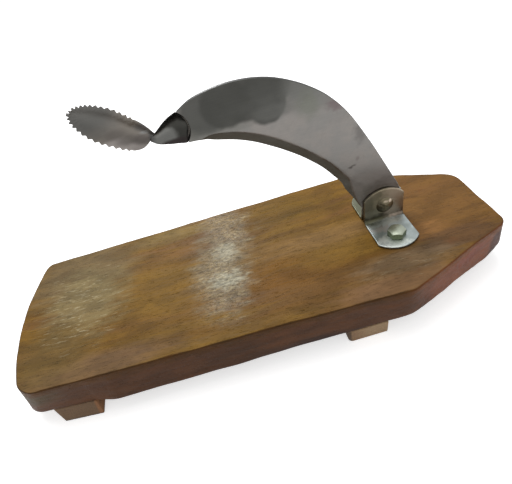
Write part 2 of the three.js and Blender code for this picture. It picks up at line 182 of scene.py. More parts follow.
def bevel(bm, edges, width, segments):
    bmesh.ops.bevel(
        bm, geom=edges, offset=width, offset_type="OFFSET", affect="EDGES", segments=segments,
        profile=0.5, material=-1, clamp_overlap=True,
    )


def sharp_edges(bm, degrees):
    """The edges whose two faces meet at more than an angle."""
    bm.normal_update()
    limit = math.radians(degrees)
    return [e for e in bm.edges if len(e.link_faces) == 2 and e.calc_face_angle(0) > limit]


def move(bm, matrix):
    bmesh.ops.transform(bm, matrix=matrix, verts=bm.verts)


def placed(name, data):
    """A new object in the scene."""
    made = bpy.data.objects.new(name, data)
    bpy.context.scene.collection.objects.link(made)
    return made


def object_from(bm, name):
    mesh = bpy.data.meshes.new(name)
    bm.to_mesh(mesh)
    bm.free()
    return placed(name, mesh)


def combined(first, second, operation):
    """Two closed shapes joined or cut: UNION, DIFFERENCE or INTERSECT."""
    holders = [object_from(bm, "working") for bm in (first, second)]
    cut = holders[0].modifiers.new("cut", "BOOLEAN")
    cut.operation = operation
    cut.object = holders[1]
    cut.solver = "EXACT"
    result = bmesh.new()
    result.from_object(holders[0], bpy.context.evaluated_depsgraph_get())
    for holder in holders:
        mesh = holder.data
        bpy.data.objects.remove(holder)
        bpy.data.meshes.remove(mesh)
    bmesh.ops.remove_doubles(result, verts=result.verts, dist=SAME_PLACE)
    return result


def finish_piece(bm, replaced, suffix, body, finish, smooth_below):
    """Bring a shape to metres and hand it over as the piece that stands for a node and rides on
    a body. Edges that turn by more than smooth_below degrees stay sharp."""
    bmesh.ops.recalc_face_normals(bm, faces=bm.faces)
    bmesh.ops.scale(bm, vec=(MM, MM, MM), verts=bm.verts)
    piece = object_from(bm, replaced + suffix)
    piece.data.shade_smooth()
    piece.data.set_sharp_from_angle(angle=math.radians(smooth_below))
    material, slot = finish
    piece.data.materials.append(material)
    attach(piece, body)
    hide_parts(replaced)


def finish_arm_piece(bm, replaced, suffix, finish, smooth_below):
    """Finish a shape that was drawn from the hinge pin."""
    move(bm, ARM_FRAME)
    finish_piece(bm, replaced, suffix, "arm", finish, smooth_below)


# Shading helpers


def node(tree, kind, inputs=None, **settings):
    """Add a shader node, set its options, and fill its inputs with values or other sockets."""
    made = tree.nodes.new("ShaderNode" + kind)
    for key, value in settings.items():
        setattr(made, key, value)
    for key, value in (inputs or {}).items():
        if isinstance(value, bpy.types.NodeSocket):
            tree.links.new(value, made.inputs[key])
        else:
            made.inputs[key].default_value = value
    return made


def maths(tree, operation, a, b=0.0, clamp=False):
    return node(tree, "Math", {0: a, 1: b}, operation=operation, use_clamp=clamp).outputs[0]


def times(tree, a, b):
    return maths(tree, "MULTIPLY", a, b)


def plus(tree, a, b):
    return maths(tree, "ADD", a, b)


def minus(tree, a, b):
    return maths(tree, "SUBTRACT", a, b)


def swing(tree, noise_value, amount):
    """A noise that lies round a half, as a swing round nought."""
    return times(tree, minus(tree, noise_value, 0.5), amount)


def vector_maths(tree, operation, a, b):
    second = "Scale" if operation == "SCALE" else 1
    return node(tree, "VectorMath", {0: a, second: b}, operation=operation).outputs[0]


def rescale(tree, value, low, high, new_low=0.0, new_high=1.0):
    """Map a value's range onto another, smoothly and with nothing outside it."""
    ranges = {
        "Value": value, "From Min": low, "From Max": high, "To Min": new_low, "To Max": new_high,
    }
    return node(tree, "MapRange", ranges, interpolation_type="SMOOTHSTEP").outputs["Result"]


def mix(tree, factor, a, b):
    """The colour a share of the way from a to b; either can be six hexadecimal digits."""
    a, b = [tint(colour) if isinstance(colour, str) else colour for colour in (a, b)]
    blended = {0: factor, 6: a, 7: b}
    return node(tree, "Mix", blended, data_type="RGBA", clamp_result=True).outputs[2]


def tint(hex_colour):
    """A colour written as six hexadecimal digits, as the shader's linear colour."""
    parts = [int(hex_colour[i : i + 2], 16) / 255 for i in (0, 2, 4)]
    return [p / 12.92 if p < 0.04045 else ((p + 0.055) / 1.055) ** 2.4 for p in parts] + [1.0]


def new_group(name, inputs, outputs):
    """A shader node group. Its inputs are given as name and default: a float for a number, and a
    vector otherwise. Returns its tree, what it is given, and what it gives back."""
    tree = bpy.data.node_groups.new(name, "ShaderNodeTree")
    for label, default in inputs.items():
        kind = "NodeSocketFloat" if isinstance(default, float) else "NodeSocketVector"
        socket = tree.interface.new_socket(name=label, in_out="INPUT", socket_type=kind)
        if default is not None:
            socket.default_value = default
    for label in outputs:
        tree.interface.new_socket(name=label, in_out="OUTPUT", socket_type="NodeSocketFloat")
    entry = tree.nodes.new("NodeGroupInput")
    leave = tree.nodes.new("NodeGroupOutput")
    return tree, entry.outputs, leave.inputs


def place_group(tree, group, **inputs):
    """Put a node group in a tree; returns its outputs."""
    return node(tree, "Group", inputs, node_tree=group).outputs


def emptied(owner):
    """The shader tree of a material or world, with nothing in it."""
    owner.use_nodes = True
    owner.node_tree.nodes.clear()
    return owner.node_tree


def new_material(name):
    """An empty material; returns it with its tree, its shader and its place in millimetres."""
    material = bpy.data.materials.new(name)
    tree = emptied(material)
    shader = node(tree, "BsdfPrincipled")
    out = node(tree, "OutputMaterial")
    tree.links.new(shader.outputs[0], out.inputs["Surface"])
    here = node(tree, "TexCoord").outputs["Object"]
    place = vector_maths(tree, "MULTIPLY", here, (1 / MM, 1 / MM, 1 / MM))
    return material, tree, shader, place


def faced(tree, axis):
    """How far a surface faces along an axis, from -1 to 1."""
    return node(tree, "SeparateXYZ", {0: node(tree, "TexCoord").outputs["Normal"]}).outputs[axis]


def paint(tree, shader, colour, value):
    """Feed the shader a colour, made lighter or darker by a value."""
    shaded = node(tree, "HueSaturation", {"Value": value, "Color": colour}).outputs[0]
    tree.links.new(shaded, shader.inputs["Base Color"])


def bump(tree, shader, height, distance):
    """Feed a height to the shader's normal; distance is how far full height stands, in metres."""
    made = node(tree, "Bump", {"Height": height, "Distance": distance, "Strength": 1.0})
    tree.links.new(made.outputs[0], shader.inputs["Normal"])


# Shared effects


def make_streaks():
    """Noise drawn out along one way; Size is its cell in millimetres along X, Y and Z."""
    tree, given, out = new_group("Streaks", {
        "Place": None, "Size": (30, 2, 2), "Detail": 3.0, "Roughness": 0.5, "Waver": 0.0,
    }, ["Value"])
    place = given["Place"]
    slow = {"Vector": place, "Scale": 0.02, "Detail": 1.0}
    drift = node(tree, "TexNoise", slow).outputs["Color"]
    centred = vector_maths(tree, "SUBTRACT", drift, (0.5, 0.5, 0.5))
    pushed = vector_maths(tree, "SCALE", centred, given["Waver"])
    moved = vector_maths(tree, "ADD", place, pushed)
    fitted = vector_maths(tree, "DIVIDE", moved, given["Size"])
    quick = {
        "Vector": fitted, "Scale": 1.0, "Detail": given["Detail"], "Roughness": given["Roughness"],
    }
    tree.links.new(node(tree, "TexNoise", quick).outputs["Fac"], out["Value"])
    return tree


def make_spot():
    """A soft patch round a centre, with a ragged edge."""
    tree, given, out = new_group("Soft Spot", {
        "Place": None, "Centre": (0, 0, 0), "Size": (10, 10, 10), "Softness": 0.3,
        "Raggedness": 0.2, "Grain": (4, 4, 4),
    }, ["Mask"])
    away = vector_maths(tree, "SUBTRACT", given["Place"], given["Centre"])
    fitted = vector_maths(tree, "DIVIDE", away, given["Size"])
    reach = node(tree, "VectorMath", {0: fitted}, operation="LENGTH").outputs["Value"]
    cells = vector_maths(tree, "DIVIDE", given["Place"], given["Grain"])
    rag = node(tree, "TexNoise", {"Vector": cells, "Scale": 1.0, "Detail": 4.0}).outputs["Fac"]
    edge = plus(tree, reach, swing(tree, rag, times(tree, given["Raggedness"], 4.0)))
    inner = minus(tree, 1.0, given["Softness"])
    outer = plus(tree, 1.0, given["Softness"])
    tree.links.new(rescale(tree, edge, inner, outer, 1.0, 0.0), out["Mask"])
    return tree


streaks = make_streaks()
spot = make_spot()


def streaked(tree, place, size, detail=3.0, roughness=0.5, waver=0.0):
    """The value of the shared streaks; size is their cell in millimetres."""
    return place_group(
        tree, streaks, Place=place, Size=size, Detail=detail, Roughness=roughness, Waver=waver,
    )["Value"]


def spot_mask(tree, place, centre, size, softness, raggedness, grain):
    """The mask of a shared soft spot; a grain of one number is alike all three ways."""
    cell = grain if isinstance(grain, tuple) else (grain, grain, grain)
    return place_group(
        tree, spot, Place=place, Centre=centre, Size=size, Softness=softness,
        Raggedness=raggedness, Grain=cell,
    )["Mask"]


def make_wood_grain():
    """Plank grain along X: broad bands, fine streaks, and short open pores."""
    tree, given, out = new_group(
        "Wood Grain", {"Place": None, "Scale": 1.0}, ["Bands", "Fine", "Pores"],
    )
    sized = vector_maths(tree, "SCALE", given["Place"], given["Scale"])
    bands = streaked(tree, sized, (130, 8, 11), 4.0, 0.55, 10.0)
    fine = streaked(tree, sized, (38, 1.4, 2.2), 4.0, 0.62, 5.0)
    dashes = streaked(tree, sized, (7, 0.6, 0.8), 2.0, 0.6, 4.0)
    tree.links.new(rescale(tree, bands, 0.32, 0.68), out["Bands"])
    tree.links.new(rescale(tree, fine, 0.3, 0.7), out["Fine"])
    tree.links.new(rescale(tree, dashes, 0.6, 0.72), out["Pores"])
    return tree


def make_steel_skin():
    """Rolled sheet: a faint brushed lay, blotches of tarnish, and hairline scratches."""
    tree, given, out = new_group(
        "Steel Skin", {"Place": None}, ["Brush", "Blotch", "Scratch", "Height"],
    )
    place = given["Place"]
    brush = streaked(tree, place, (9, 9, 0.35), 2.0)
    blotch = streaked(tree, place, (17, 17, 13), 4.0, 0.55)
    turned = node(tree, "Mapping", {"Vector": place, "Rotation": (0, 0.9, 0.2)}).outputs[0]
    scratch = rescale(tree, streaked(tree, turned, (14, 14, 0.16), 1.0), 0.7, 0.78)
    height = minus(tree, times(tree, brush, 0.5), scratch)
    results = {"Brush": brush, "Blotch": blotch, "Scratch": scratch, "Height": height}
    for label, value in results.items():
        tree.links.new(value, out[label])
    return tree


wood_grain = make_wood_grain()
steel_skin = make_steel_skin()


# Finishes


def spotted(tree, place, colour, spots):
    """Lay soft patches over a colour, one after another."""
    for patch, strength, *shape in spots:
        mask = spot_mask(tree, place, *shape)
        colour = mix(tree, times(tree, mask, strength), colour, patch)
    return colour


# How far a patch on a flat face reaches in and out of it
PATCH_DEPTH = 30


def face_spots(axis, level, spots):
    """Patches given by two places and two sizes on a flat face, completed along its axis."""
    return [
        (patch, strength, centre[:axis] + (level,) + centre[axis:],
         size[:axis] + (PATCH_DEPTH,) + size[axis:], *rest)
        for patch, strength, centre, size, *rest in spots
    ]


# Patches as (colour, strength, centre, size, softness, raggedness, grain), in millimetres; where
# two lie over each other the later one is on top
TOP_SPOTS = face_spots(2, BOARD_TOP, [
    ("704f2b", 0.75, (160, 8), (50, 60), 0.5, 0.3, (40, 6, 6)),
    ("6c4810", 0.75, (26, -24), (72, 15), 0.6, 0.25, (40, 5, 5)),
    ("72541a", 0.75, (-84, -2), (34, 26), 0.6, 0.25, (40, 5, 5)),
    ("7a5b22", 0.8, (72, -18), (36, 15), 0.6, 0.25, (30, 5, 5)),
    ("74541a", 0.7, (40, 62), (70, 12), 0.6, 0.25, (30, 5, 5)),
    ("84653a", 0.7, (64, 1), (56, 10), 0.6, 0.25, (40, 5, 5)),
    ("7c6838", 0.65, (-66, 61), (36, 9), 0.6, 0.25, (30, 5, 5)),
    ("5e460a", 0.6, (34, 50), (38, 20), 0.6, 0.25, (30, 5, 5)),
    ("8a6238", 0.65, (136, -22), (16, 9), 0.6, 0.25, (20, 5, 5)),
    ("68583c", 0.85, (-152, 44), (48, 32), 0.6, 0.25, (30, 6, 6)),
    ("573e27", 0.85, (160, -39), (34, 10), 0.35, 0.3, (30, 4, 4)),
    ("7a5c3f", 0.85, (100, -67), (48, 13), 0.45, 0.25, (24, 4, 4)),
    ("6e5640", 0.65, (-132, -61), (56, 11), 0.5, 0.25, (24, 4, 4)),
    ("76624a", 0.7, (110, -47), (38, 10), 0.5, 0.3, (24, 4, 4)),
    ("786a48", 0.8, (-142, 6), (31, 34), 0.5, 0.4, (20, 5, 4)),
    ("64502a", 0.7, (-165, -40), (30, 26), 0.6, 0.3, (24, 5, 5)),
    # The four pale patches across the middle, brightest in the two small ones, are a painted glare
    # of the lamp on the varnish
    ("7d7056", 0.6, (-18, 42), (20, 38), 0.55, 0.4, (12, 6, 6)),
    ("7d7056", 0.7, (-29, -8), (20, 38), 0.55, 0.4, (12, 6, 6)),
    ("b5b29c", 0.6, (-24, -15), (13, 8), 0.6, 0.6, (6, 4, 4)),
    ("a8a48f", 0.55, (-21, 18), (9, 10), 0.6, 0.6, (6, 4, 4)),
])
SIDE_SPOTS = [
    ("7d4b34", 0.9, (158, -52, 28), (54, 30, 24), 0.35, 0.15, (20, 20, 6)),
    ("81483a", 0.6, (158, -50, 35), (14, 16, 8), 0.5, 0.3, (8, 8, 4)),
    # Painted shadow low on the board's near side, between the battens
    ("2e211d", 0.8, (28, -72, 12), (36, 9, 7), 0.5, 0.2, (12, 8, 3)),
    ("3f2a26", 0.8, (192, -38, 24), (8, 14, 30), 0.4, 0.3, (8, 8, 4)),
    ("47391f", 0.8, (-184, -66, 36), (22, 20, 12), 0.5, 0.2, (8, 8, 4)),
]
BATTEN_SPOTS = [
    ("735b44", 0.85, (-157, -68, 6), (24, 18, 14), 0.4, 0.2, (8, 8, 3)),
    # Painted shading on the seat batten's inner side face
    ("9c6d48", 0.85, (-142, -50, 6), (2.5, 60, 14), 0.3, 0.1, (8, 20, 4)),
    ("b39877", 0.7, (77, -73, 6), (12, 5, 12), 0.5, 0.2, (4, 8, 3)),
    # Painted shade on the nose batten's outer side face
    ("57473a", 0.8, (53.5, -60, 6), (2.5, 60, 14), 0.3, 0.1, (8, 20, 4)),
    # Painted contact shadow along the seat batten's foot
    ("2f2721", 0.8, (-157, -68, 0), (26, 20, 1.1), 0.4, 0.2, (6, 6, 3)),
]


def varnished_board():
    """Streaky golden brown on top, purplish brown on the sides, scuffed pale where one sits, with a
    painted glare of pale scratches across the middle.
    """
    material, tree, shader, place = new_material("Varnished board")
    grain = place_group(tree, wood_grain, Place=place, Scale=1.0)
    top = mix(tree, grain["Bands"], "624516", "71531b")
    lean = streaked(tree, place, (190, 21, 30), 3.0, 0.55, 14.0)
    top = mix(tree, rescale(tree, lean, 0.48, 0.62, 0.0, 0.8), top, "6a4a23")
    clouds = streaked(tree, place, (30, 12, 14), 4.0, 0.6, 12.0)
    top = spotted(tree, place, top, TOP_SPOTS)
    scratches = streaked(tree, place, (10, 1.8, 1), 5.0, 0.66, 7.0)
    seat, far_middle, near_middle, nose = [
        spot_mask(tree, place, (x, y, BOARD_TOP), (w, d, PATCH_DEPTH), 0.6, 0.5, (14, 6, 6))
        for x, y, w, d in (
            (-143, 2, 30, 36), (-16, 50, 20, 38), (-29, -12, 20, 42), (110, -50, 34, 12),
        )
    ]
    # The pale scratches are wear at the seat and the nose, and a painted glare across the middle
    middle = maths(tree, "MAXIMUM", far_middle, near_middle)
    worn_and_glare = maths(tree, "MAXIMUM", maths(tree, "MAXIMUM", seat, middle), times(tree, nose, 0.35))
    scuffs_and_glare = times(tree, rescale(tree, scratches, 0.53, 0.7), worn_and_glare)
    top = mix(tree, times(tree, scuffs_and_glare, 0.68), top, "b1a485")
    side = mix(tree, grain["Bands"], "4a2f1c", "563620")
    side = spotted(tree, place, side, SIDE_SPOTS)
    facing = faced(tree, "Z")
    along, _, above = node(tree, "SeparateXYZ", {0: place}).outputs
    behind_nose = rescale(tree, along, 92, 116, 1.0, 0.15)
    ragged = streaked(tree, place, (9, 9, 3), 3.0, 0.6)
    spread = swing(tree, ragged, 14.0)
    band = rescale(tree, plus(tree, above, spread), BOARD_TOP - 8, BOARD_TOP - 4)
    band_colour = mix(tree, behind_nose, "744423", "4c2f10")
    side = mix(tree, times(tree, band, 0.95), side, band_colour)
    upward = plus(tree, facing, swing(tree, ragged, 0.3))
    colour = mix(tree, rescale(tree, upward, 0.82, 0.98), side, top)
    # The dark line along the eased edge: dark varnish, with painted shade where the edge turns from
    # the light
    arris = times(
        tree, rescale(tree, facing, 0.15, 0.45), rescale(tree, facing, 0.93, 0.99, 1.0, 0.0),
    )
    arris = times(tree, arris, rescale(tree, ragged, 0.35, 0.6, 0.2, 0.75))
    colour = mix(tree, times(tree, arris, behind_nose), colour, "3d2911")
    pores = times(tree, grain["Pores"], 0.17)
    value = minus(tree, plus(tree, 1.0, swing(tree, grain["Fine"], 0.16)), pores)
    value = times(tree, value, rescale(tree, clouds, 0.35, 0.65, 0.84, 1.17))
    crinkle = streaked(tree, place, (4.2, 2.2, 2), 3.0, 0.65, 6.0)
    # Lighter and darker crinkles across the middle: painted mottling of the glare
    mottled_glare = times(tree, middle, rescale(tree, crinkle, 0.4, 0.6, -0.32, 0.18))
    paint(tree, shader, colour, times(tree, value, plus(tree, 1.0, mottled_glare)))
    matt = rescale(tree, grain["Fine"], 0.0, 1.0, 0.46, 0.58)
    tree.links.new(minus(tree, matt, times(tree, middle, 0.2)), shader.inputs["Roughness"])
    shader.inputs["Specular IOR Level"].default_value = 0.12
    crinkled = times(tree, crinkle, plus(tree, 0.9, times(tree, middle, 2.2)))
    height = plus(tree, minus(tree, crinkled, grain["Pores"]), times(tree, scuffs_and_glare, 0.5))
    bump(tree, shader, height, 0.0002)
    return material, "varnished_wood"


def raw_batten():
    """Sawn pale wood, grain along the batten, darker and stained at the seat end."""
    material, tree, shader, place = new_material("Raw batten")
    turned = node(tree, "Mapping", {"Vector": place, "Rotation": (0, 0, math.pi / 2)}).outputs[0]
    grain = place_group(tree, wood_grain, Place=turned, Scale=1.6)
    colour = mix(tree, grain["Bands"], "95755a", "a98a66")
    end = maths(tree, "ABSOLUTE", faced(tree, "Y"))
    rings = streaked(tree, place, (11, 30, 1.3), 3.0, 0.6)
    end_grain = mix(tree, rings, "7a5f45", "b39270")
    colour = mix(tree, times(tree, end, 0.5), colour, end_grain)
    colour = spotted(tree, place, colour, BATTEN_SPOTS)
    pores = times(tree, grain["Pores"], 0.25)
    value = minus(tree, plus(tree, 1.0, swing(tree, grain["Fine"], 0.25)), pores)
    paint(tree, shader, colour, value)
    tree.links.new(rescale(tree, grain["Fine"], 0.0, 1.0, 0.72, 0.88), shader.inputs["Roughness"])
    bump(tree, shader, minus(tree, grain["Fine"], grain["Pores"]), 0.00015)
    return material, "raw_wood"


def steel(
    slot, name, dark, light, spots=(), rough=(0.3, 0.45), lay=0.00002, cut_edge=None, lip=None,
    level=None,
):
    """A metal with the sheet's skin and the patches it is given, many of them painted reflections,
    highlights and shade. cut_edge is the colour of what doesn't face along Y, and lip the two of
    what leans a little from it, a darker grey painted for the lip's reflection. level is the colour
    of what faces neither up nor down, painted darker for shade on upright sides."""
    material, tree, shader, place = new_material(name)
    skin = place_group(tree, steel_skin, Place=place)
    colour = mix(tree, rescale(tree, skin["Blotch"], 0.35, 0.65), dark, light)
    colour = spotted(tree, place, colour, spots)
    shader.inputs["Metallic"].default_value = 1.0
    if cut_edge:
        sideways = maths(tree, "ABSOLUTE", faced(tree, "Y"))
        leaning = rescale(tree, sideways, 0.86, 0.96, 1.0, 0.0)
        cut = rescale(tree, sideways, 0.3, 0.75, 1.0, 0.0)
        colour = mix(tree, leaning, colour, mix(tree, skin["Blotch"], *lip))
        colour = mix(tree, cut, colour, cut_edge)
        dull = maths(tree, "MAXIMUM", times(tree, leaning, 0.75), times(tree, cut, 0.95))
        tree.links.new(minus(tree, 1.0, dull), shader.inputs["Metallic"])
    if level:
        upright = maths(tree, "ABSOLUTE", faced(tree, "Z"))
        colour = mix(tree, rescale(tree, upright, 0.5, 0.85, 1.0, 0.0), colour, level)
    scratches = times(tree, skin["Scratch"], 0.12)
    value = minus(tree, plus(tree, 1.0, swing(tree, skin["Brush"], 0.16)), scratches)
    paint(tree, shader, colour, value)
    tree.links.new(rescale(tree, skin["Blotch"], 0.3, 0.7, *rough), shader.inputs["Roughness"])
    bump(tree, shader, skin["Height"], lay)
    return material, slot


# The dark scalloped patch across the upper arm and the lighter ones about it are painted
# reflections of the dark and pale surroundings; the last three patches are a small nick
ARM_SPOTS = face_spots(1, ARM_FACE_Y, [
    ("6b6a66", 0.85, (-4, 160), (26, 6), 0.4, 0.2, (9, 9, 5)),
    ("50504c", 0.9, (-9, 168), (14, 9), 0.4, 0.15, (9, 9, 5)),
    ("4b4b48", 0.95, (-4, 176), (17, 15), 0.16, 0.07, 9),
    ("42423f", 0.95, (9, 176), (16, 15.5), 0.12, 0.06, 9),
    ("42423f", 0.95, (22, 176), (17, 15), 0.1, 0.06, 9),
    ("42423f", 0.95, (34, 173), (14, 18), 0.1, 0.06, 9),
    ("464643", 0.9, (39, 181), (14, 13), 0.2, 0.08, 9),
    ("4d4d4a", 0.7, (33, 169.5), (16, 4.5), 0.6, 0.15, (9, 9, 6)),
    ("575754", 0.8, (37, 163), (13, 5), 0.5, 0.12, (9, 9, 6)),
    ("5b5b58", 0.85, (60, 174), (13, 9), 0.5, 0.1, 9),
    ("686865", 0.7, (64, 164), (15, 8), 0.6, 0.15, 9),
    ("6a6664", 0.5, (80, 160), (8, 6), 0.6, 0.2, 6),
    ("64665b", 0.45, (62, 161), (7, 9), 0.6, 0.4, 5),
    ("635658", 0.6, (81, 156), (5.5, 4.5), 0.6, 0.5, 3),
    ("5c5957", 0.6, (96, 130), (4, 7), 0.5, 0.4, 4),
    ("767370", 0.5, (82, 146), (8, 3), 0.5, 0.4, (4, 4, 3)),
    ("6e6864", 0.5, (118, 84), (24, 18), 0.5, 0.2, 9),
    ("3a3733", 0.7, (88.2, 103.5), (1.7, 1), 0.5, 0.4, (3, 3, 2)),
    ("403c38", 0.6, (90.7, 104.8), (1.9, 0.7), 0.6, 0.4, (3, 3, 2)),
    ("5d5452", 0.4, (93.8, 109.9), (1.4, 1.8), 0.6, 0.3, (3, 3, 2)),
])
# Painted light and shade of the dished head and tang: a darker upper side, lighter lower bands,
# small highlights, and shade at the neck, inside the tang and along its lower rim
HEAD_SPOTS = face_spots(1, ARM_FACE_Y, [
    ("545452", 0.85, (-74, 191), (20, 12), 0.5, 0.15, 9),
    ("8c8682", 0.9, (-64, 169.5), (8, 3.6), 0.4, 0.1, 6),
    ("8c8682", 0.9, (-57, 165), (7, 3.2), 0.4, 0.1, 6),
    ("847e7a", 0.9, (-50, 162.5), (6, 2.6), 0.5, 0.1, 6),
    ("5d5854", 0.7, (-61, 175), (7, 3), 0.5, 0.1, 5),
    ("5d5854", 0.7, (-55, 170), (7, 3), 0.5, 0.1, 5),
    ("57524f", 0.8, (-47, 168), (6, 3), 0.5, 0.1, 5),
    ("4f4e4e", 0.7, (-43.5, 176), (5.5, 3.2), 0.5, 0.1, 4),
    ("7d7e7e", 0.7, (-44, 172), (3, 1.1), 0.6, 0.2, 4),
    ("454545", 0.9, (-38.5, 168), (4, 6), 0.4, 0.1, 4),
    ("373734", 0.95, (-24, 171), (15, 14), 0.15, 0.06, 5),
    ("6c6c69", 0.95, (-33, 164), (7.5, 5.5), 0.3, 0.1, 4),
]) + [
    ("3a3534", 0.95, (-32, ARM_FACE_Y, 160), (18, 9, 2), 0.4, 0.1, 4),
]
BRACKET_SPOTS = [
    # The ear: painted reflection of the brown board, with lighter and darker patches of reflection
    ("8c826d", 0.95, (114.8, 0.9, 66), (30, 3.4, 20), 0.15, 0.1, (7, 7, 6)),
    # The fillet and the bend: painted shade
    ("38332b", 0.95, (114.8, 1.0, 49.2), (40, 3.4, 4), 0.25, 0.1, (7, 7, 6)),
    ("4d473c", 0.85, (114.8, 0.4, 50.6), (40, 3.4, 2.6), 0.5, 0.2, (6, 6, 4)),
    ("9a8f7c", 0.45, (119, 0.9, 71), (4, 3.4, 3), 0.5, 0.7, 2),
    ("5b5547", 0.45, (108, 0.9, 71), (5, 3.4, 4), 0.5, 0.6, 3),
    ("57564a", 0.6, (100.5, 0.9, 63), (5, 3.4, 12), 0.5, 0.3, 5),
    ("8f8d7e", 0.6, (104, 0.9, 54), (7, 3.4, 4), 0.5, 0.5, 4),
    ("64534a", 0.5, (124, 0.9, 52), (8, 3.4, 4), 0.5, 0.4, 4),
    ("b0a292", 0.7, (123, 0.9, 62), (9, 3.4, 16), 0.5, 0.3, 4),
    # The near foot: painted light and shade where the ear's reflection falls, and a pale smudge by
    # the bolt
    ("b9bdb6", 0.7, (111, -4, 46), (16, 4, 2.2), 0.5, 0.3, (5, 4, 5)),
    ("7c8682", 0.4, (101, -17, 46), (6, 5, 3), 0.5, 0.3, 5),
    ("7b837f", 0.6, (124, -16, 46), (5, 6, 3), 0.5, 0.4, 4),
    ("8f9794", 0.7, (121, -30, 46), (7, 5, 3), 0.5, 0.4, 4),
    ("c6cbc4", 0.7, (104, -24, 46), (5, 4, 3), 0.5, 0.5, 3),
    ("a89f97", 0.65, (107, -11, 46), (7, 3, 3), 0.5, 0.8, 3),
    ("c6cbc4", 0.7, (109, -31, 46), (13, 5, 3), 0.5, 0.7, 3),
    # The far foot: painted shade
    ("575744", 0.9, (103, 18, 46), (20, 22, 6), 0.3, 0.2, 6),
    # Painted shadow under the foot's near edge
    ("3a2d22", 0.9, (114.8, -18, 44.6), (40, 60, 1.1), 0.35, 0.1, 5),
]
# Painted shade on the dome's left flank, and painted glints and light on its right
RIVET_SPOTS = [
    ("35332a", 0.7, (109.6, -2, 60.5), (3.2, 6, 6.5), 0.5, 0.3, 3),
    ("d8c7b6", 0.85, (118.8, -2, 64.6), (1.2, 6, 1.1), 0.6, 0.6, 1),
    ("b5a794", 0.75, (115, -2, 65), (1.8, 6, 0.7), 0.6, 0.6, 1),
    ("8d8068", 0.6, (117.5, -2, 60.5), (1.8, 6, 1.6), 0.6, 0.6, 2),
]

# Each finish is a material and its slot
varnished = varnished_board()
raw = raw_batten()
# The arm's lip is painted a darker grey that stands in for its reflection of the dark below it
arm_steel = steel(
    "arm_steel", "Arm steel with painted reflections", "757370", "827e7a", ARM_SPOTS, cut_edge="2b2b2a",
    lip=("50514d", "696a66"),
)
head_steel = steel(
    "arm_steel", "Ground head steel", "69645e", "726d67", HEAD_SPOTS, rough=(0.3, 0.42),
)
weld_steel = steel(
    "arm_steel", "Burnt weld", "3c3a37", "55514c", rough=(0.4, 0.6), lay=0.00005,
)
galvanised = steel(
    "galvanised_steel", "Galvanised bracket", "8f9795", "a9b2b3", BRACKET_SPOTS,
    rough=(0.38, 0.52),
)
# The upright sides of the bolt head and nut are painted darker green: painted shade
zinc = steel(
    "yellow_zinc", "Yellow zinc", "8a907f", "a9afa0", rough=(0.35, 0.5), lay=0.00006,
    level="747d64",
)
rivet = steel(
    "rivet_steel", "Hammered rivet", "69614e", "7c745f", RIVET_SPOTS, rough=(0.34, 0.5),
    lay=0.00006,
)
screw_metal = steel("screw_steel", "Zinc screw", "9a9a94", "b2b2aa", rough=(0.3, 0.4))


# Board and battens


def wander(x, y, z, size, amount):
    """A small wander of a hand-cut surface, the same at the same place."""
    return amount * noise.noise(Vector((x, y, z)) / size)


# Corners as (x, y, radius), from the seat's near corner round by the nose; the sides lean a
# little, so the underside has its own
BOARD_TOP_CORNERS = [
    (-184.4, -68.0, 13), (-140, -69.0, 40), (-122, -69.4, 40), (104, -75.2, 18), (197.2, -37.2, 10),
    (195.2, 35.5, 17), (105.7, 74.3, 16), (-184.4, 68.4, 5),
]
BOARD_UNDER_CORNERS = [
    (-190.5, -64.4, 10), (-142.5, -66.8, 30), (-127, -71.6, 30), (105.5, -73.2, 36),
    (201.0, -34.6, 10), (197.0, 33.0, 16), (105.7, 73.6, 16), (-183.4, 68.0, 6),
]
SIDE_PIECES = [8, 4, 60, 26, 16, 26, 72, 30]
# Half the board's width at its seat end, where that is, and how far the sides run and spread
SEAT_HALF, SEAT_X = 68.4, -183.4
SIDE_RUN, SIDE_SPREAD = 289.1, 5.9
# How far the seat's end is bowed, where the bow starts to fade, and over what length
BOW, BOW_FROM, BOW_FADE = 11.3, -170, 13
# Where the nose's rough edge starts, and over what length it grows
NOSE_FROM, NOSE_GROWS = 95, 30


